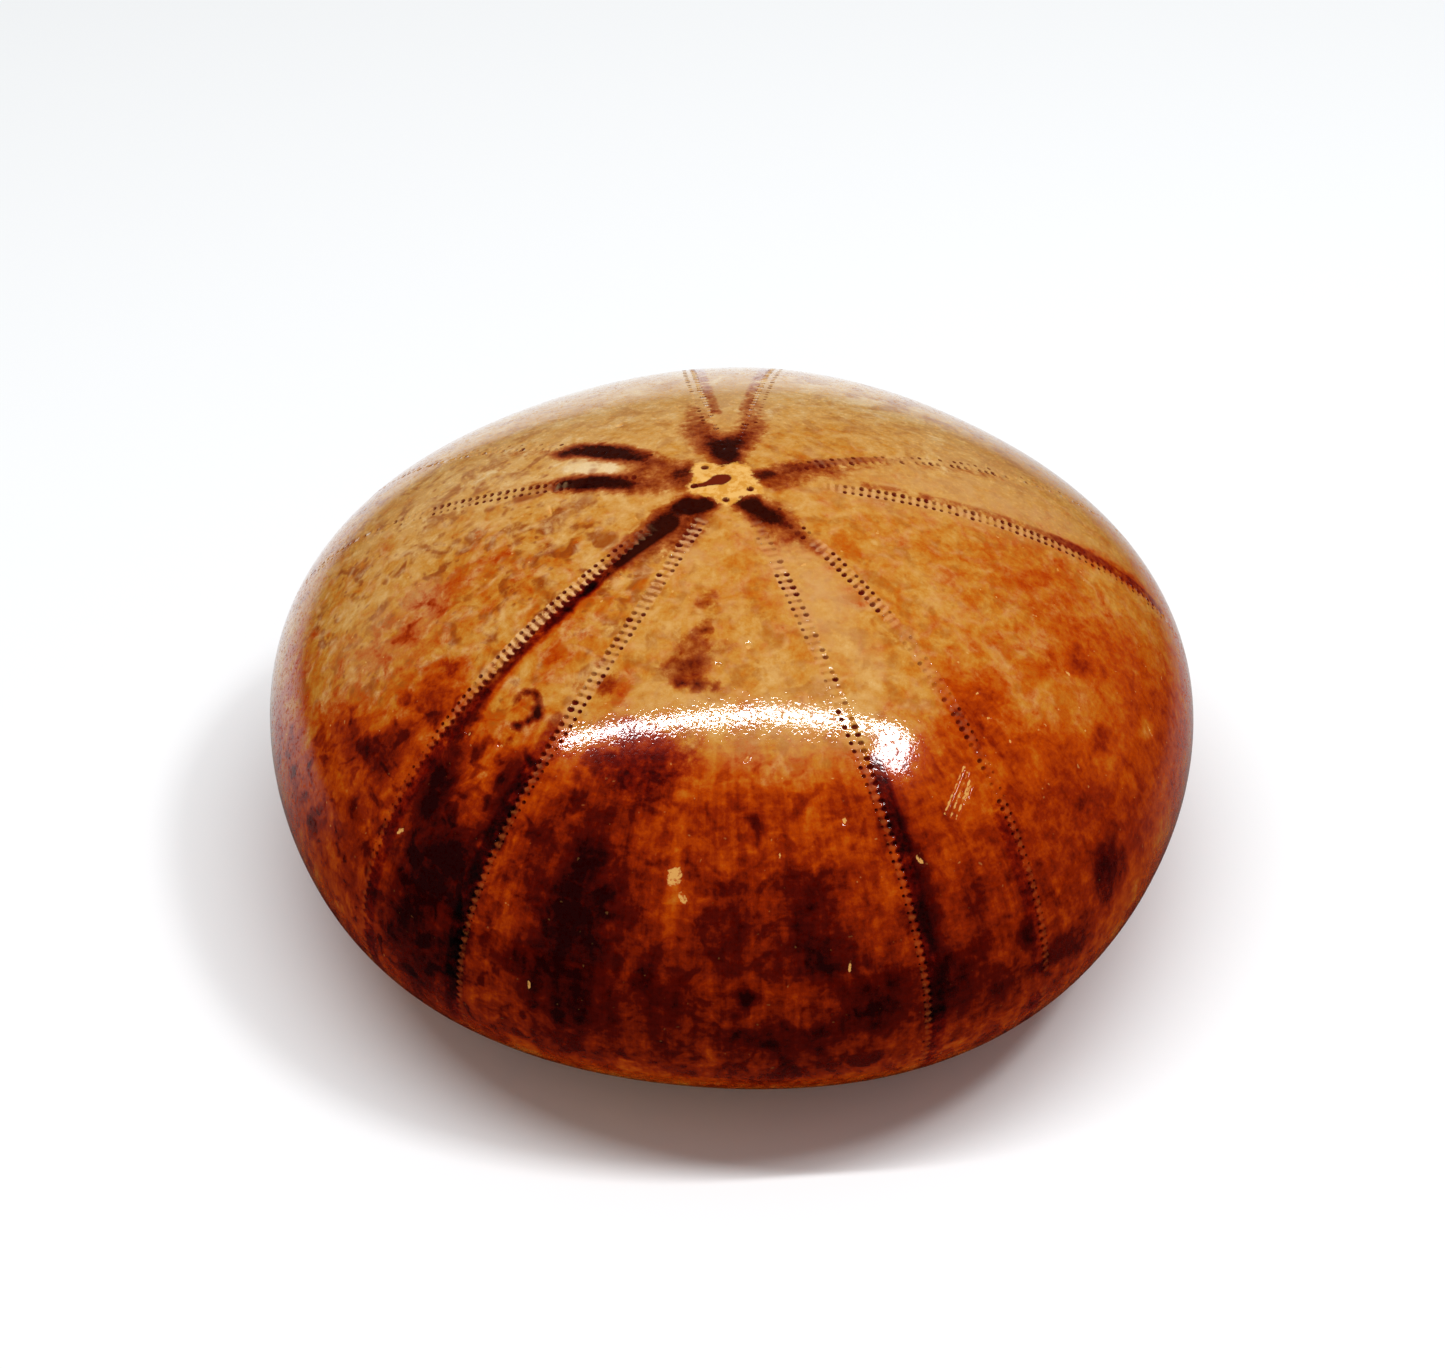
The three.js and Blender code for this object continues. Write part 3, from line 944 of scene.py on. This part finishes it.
def smears_painted_shade_and_rows(n, colour, reach, noises):
    """The smears and the painted shade of the mouth and vent, with a toothed dark band inside each row of
    pores, and the pale strip round the pores.
    """
    middle, fine = noises["middle"], noises["fine"]
    turn = n.times(n.math("SUBTRACT", reach, FIRST_PAIR), 2 * math.pi / ROW_PITCH)
    pairs = n.math("COSINE", turn)  # 1 at each pair of pores and -1 between two pairs
    inside = n.plus(n.number("inside"), n.spread(fine, 0.3))
    low_row = n.step(reach, 24.0, 34.0)
    inner_edge = n.plus(n.times(low_row, 0.35), n.math("MULTIPLY_ADD", pairs, 0.14, inside))
    dark_band = n.times(n.step(inner_edge, 0.34, 0.66), n.step(inside, 1.7, 1.15))
    dark_band = n.times(dark_band, n.number("dark_row"), n.step(middle, 0.16, 0.48))
    smear = n.plus(n.number("smear"), dark_band)
    rough_edge = n.plus(n.spread(fine, 0.36), n.spread(noises["patches"], 0.3))
    rough_edge = n.plus(n.spread(middle, 0.3), rough_edge)
    smear = n.plus(smear, n.times(rough_edge, n.step(smear, 0.04, 0.25)))
    colour = n.mix(1.0, colour, n.ramp(smear, SMEAR_AND_PAINTED_SHADE_TINTS), "MULTIPLY")

    pale_row = n.number("pale_row")
    outer_edge = n.math("MULTIPLY_ADD", low_row, -0.32, inside)
    pale_band = n.times(n.step(outer_edge, -0.64, -0.48), n.step(inner_edge, 0.58, 0.4), pale_row)
    between = n.math("MULTIPLY_ADD", pairs, -0.4, 0.6)
    pale_band = n.times(pale_band, between, n.step(fine, 0.36, 0.6), 0.9)
    pale_colour = n.mix(low_row, srgb(PALE_PORE_COLOUR), srgb(LOW_PORE_COLOUR))
    colour = n.mix(pale_band, colour, pale_colour)
    groove = n.times(n.step(pairs, 0.0, 0.8), n.band(inside, -0.25, 0.4, 0.2))
    groove = n.times(groove, n.times(pale_row, n.step(middle, 0.2, 0.5)), 0.7)
    return smear, n.mix(groove, colour, GROOVE_TINT, "MULTIPLY")


def apex_star(n, colour, noises):
    """The star of plates at the apex, with its teardrop mark, laid over a colour."""
    fine = noises["fine"]
    star = n.step(n.plus(n.number("star"), n.spread(fine, 0.9)), -0.2, 0.2)
    shade = n.step(n.plus(noises["patches"], n.spread(fine, 0.3)), 0.4, 0.62)
    colour = n.mix(star, colour, n.mix(shade, srgb(STAR_COLOUR), srgb(STAR_SHADE_COLOUR)))
    teardrop = n.step(n.plus(n.number("teardrop"), n.spread(fine, 0.4)), 0.2, 0.7)
    return n.mix(teardrop, colour, srgb(TEARDROP_COLOUR))


def crystals_and_pores(n, colour, place, stain, smear, fine):
    """Pale chips and crystals, and the dark holes of the pores, laid over a colour."""
    chips = n.step(n.plus(n.number("fleck"), n.spread(fine, 1.1)), 0.75, 1.0)
    crystals = n.step(n.noise(place, 1.9, 1.0, 0.5), 0.75, 0.80)
    crystals = n.times(crystals, n.math("MULTIPLY_ADD", n.step(stain, 0.75, 0.4), 0.75, 0.1))
    crystals = n.times(crystals, n.step(smear, 0.4, 0.1))
    colour = n.mix(n.math("MAXIMUM", chips, crystals), colour, srgb(FLECK_COLOUR))
    return n.mix(n.step(n.number("pore"), 0.05, 1.0), colour, srgb(PORE_COLOUR), "DARKEN")


def add_polish(n, shader, place, noises):
    """The polish: slightly uneven, with fine pits, and missing from the pores and chips."""
    waves = n.noise(place, 1.1, 2.0, 0.5)
    pits = n.step(n.noise(place, 3.4, 1.0, 0.5), 0.46, 0.8)
    height = n.math("MULTIPLY_ADD", waves, 0.5, n.times(noises["grain"], 0.35))
    height = n.math("MULTIPLY_ADD", pits, -0.3, height)
    bump = n.add("ShaderNodeBump", {}, Height=height, Distance=BUMP_HEIGHT * MM).outputs["Normal"]
    rough = n.math("MULTIPLY_ADD", noises["fine"], 0.08, 0.1)
    dull = n.math("MAXIMUM", n.step(n.number("pore"), 0.0, 0.25), n.step(n.number("fleck"), 0.05, 0.4))
    specks = n.step(n.noise(place, 3.0, 2.0, 0.7), 0.55, 0.60)
    polish = n.math("MULTIPLY_ADD", n.math("MAXIMUM", dull, specks), -0.9, 0.9, clamp=True)
    n.put(shader.inputs["Roughness"], n.math("MULTIPLY_ADD", dull, 0.8, rough, clamp=True))
    n.put(shader.inputs["Coat Weight"], polish)
    n.put(shader.inputs["Normal"], bump)
    n.put(shader.inputs["Coat Normal"], bump)
    shader.inputs["IOR"].default_value = 1.35
    shader.inputs["Specular IOR Level"].default_value = 0.08
    shader.inputs["Coat Roughness"].default_value = 0.025
    shader.inputs["Coat IOR"].default_value = 1.45


def stone_material():
    n = Nodes("polished calcite")
    metres = n.add("ShaderNodeTexCoord").outputs["Object"]
    place = n.vector("MULTIPLY", metres, (1 / MM, 1 / MM, 1 / MM))
    reach = n.number("reach")
    noises = stone_noises(n, place, reach)
    stain, colour = stained_stone(n, place, noises)
    smear, colour = smears_painted_shade_and_rows(n, colour, reach, noises)
    colour = apex_star(n, colour, noises)
    colour = crystals_and_pores(n, colour, place, stain, smear, noises["fine"])
    shader = n.add("ShaderNodeBsdfPrincipled", {}, Base_Color=colour)
    add_polish(n, shader, place, noises)
    n.put(n.add("ShaderNodeOutputMaterial").inputs["Surface"], shader.outputs[0])
    return n.material


# -------------------- floor, light and camera

CAMERA = {
    "elevation": 40.96,
    "distance": 260.0,
    "target_height": 15.25,
    "lens": 74.28,
    "turn": 0.165,
    "tilt": 0.691,
}
SENSOR = 36.0
CLIP = (0.01, 20.0)  # metres
FLOOR_SIZE = 6.0  # metres
FLOOR_COLOUR = (0.95, 0.95, 0.95, 1.0)
MIRRORED_FLOOR_COLOUR = (0.02, 0.02, 0.02, 1.0)
# The stone mirrors the pale floor only close behind it, between these metres in Y, and in X from this line.
LIT_BEHIND = (-0.012, 0.045)
LIT_BESIDE = (0.14, 0.04)
LIT_MIDDLE = -0.03
# The room is white to the camera. These are its strengths for soft light and, without it, for reflections.
ROOM_LIGHT = 0.24
ROOM_MIRRORED = 0.04
STRIP = {"x": 5.0, "y": -58.0, "height": 635.0, "length": 700.0, "width": 25.0, "watts": 3.2}
SPOT = {"x": 300.0, "y": -80.0, "height": 600.0, "length": 100.0, "width": 80.0, "watts": 0.95}
LAMP_COLOUR = (0.955, 0.98, 1.0)


def plain_floor():
    mesh = bpy.data.meshes.new("floor")
    half = FLOOR_SIZE / 2
    corners = [(-half, -half, 0), (half, -half, 0), (half, half, 0), (-half, half, 0)]
    mesh.from_pydata(corners, [], [(0, 1, 2, 3)])
    floor = add_object("floor", mesh)
    floor.location.z = LOW[2] * MM
    n = Nodes("white floor")
    pale = n.add("ShaderNodeBsdfDiffuse", {}, Color=FLOOR_COLOUR)
    dim = n.add("ShaderNodeBsdfDiffuse", {}, Color=MIRRORED_FLOOR_COLOUR)
    place = n.add("ShaderNodeSeparateXYZ", {}, Vector=n.add("ShaderNodeTexCoord").outputs["Object"])
    behind = n.step(place.outputs["Y"], *LIT_BEHIND)
    beside = n.step(n.math("ABSOLUTE", n.math("SUBTRACT", place.outputs["X"], LIT_MIDDLE)), *LIT_BESIDE)
    unlit = n.math("SUBTRACT", 1.0, n.times(behind, beside))
    mirrored = n.times(unlit, n.add("ShaderNodeLightPath").outputs["Is Glossy Ray"])
    mixed = n.add("ShaderNodeMixShader", {}, Fac=mirrored)
    n.put(mixed.inputs[1], pale.outputs[0])
    n.put(mixed.inputs[2], dim.outputs[0])
    n.put(n.add("ShaderNodeOutputMaterial").inputs["Surface"], mixed.outputs[0])
    mesh.materials.append(n.material)


def area_light(name, light, target):
    data = bpy.data.lights.new(name, "AREA")
    data.shape = "RECTANGLE"
    data.size, data.size_y = light["length"] * MM, light["width"] * MM
    data.energy = light["watts"]
    data.color = LAMP_COLOUR
    lamp = add_object(name, data)
    lamp.location = Vector((light["x"], light["y"], light["height"])) * MM
    away = lamp.location - Vector(target) * MM
    lamp.rotation_euler = away.to_track_quat("Z", "Y").to_euler()


def studio(apex):
    world = bpy.data.worlds.new("studio")
    bpy.context.scene.world = world
    world.use_nodes = True
    n = Nodes(world)
    path = n.add("ShaderNodeLightPath")
    room = n.math("MULTIPLY_ADD", path.outputs["Is Diffuse Ray"], ROOM_LIGHT, ROOM_MIRRORED)
    strength = n.math("MAXIMUM", room, path.outputs["Is Camera Ray"])
    backdrop = n.add("ShaderNodeBackground", {}, Color=(1.0, 1.0, 1.0, 1.0), Strength=strength)
    n.put(n.add("ShaderNodeOutputWorld").inputs["Surface"], backdrop.outputs[0])
    area_light("strip", STRIP, apex)
    area_light("strip end", SPOT, apex)


def camera(apex):
    elevation = math.radians(CAMERA["elevation"])
    back = Vector((0.0, -math.cos(elevation), math.sin(elevation)))
    right = Vector((1.0, 0.0, 0.0))
    up = back.cross(right)
    target = Vector((apex[0], apex[1], CAMERA["target_height"]))
    turned = Matrix.Rotation(math.radians(CAMERA["turn"]), 3, up)
    turned = turned @ Matrix.Rotation(math.radians(CAMERA["tilt"]), 3, right)
    data = bpy.data.cameras.new("camera")
    data.lens, data.sensor_width, data.sensor_fit = CAMERA["lens"], SENSOR, "HORIZONTAL"
    data.clip_start, data.clip_end = CLIP
    eye = add_object("camera", data)
    axes = Matrix((turned @ right, turned @ up, turned @ back)).transposed().to_4x4()
    eye.matrix_world = Matrix.Translation((target + CAMERA["distance"] * back) * MM) @ axes
    bpy.context.scene.camera = eye


piece, apex = shell()
piece.data.materials.append(stone_material())
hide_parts(NODE)
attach(piece, BODY)
plain_floor()
studio(apex)
camera(apex)
bpy.context.scene.view_settings.view_transform = "Standard"
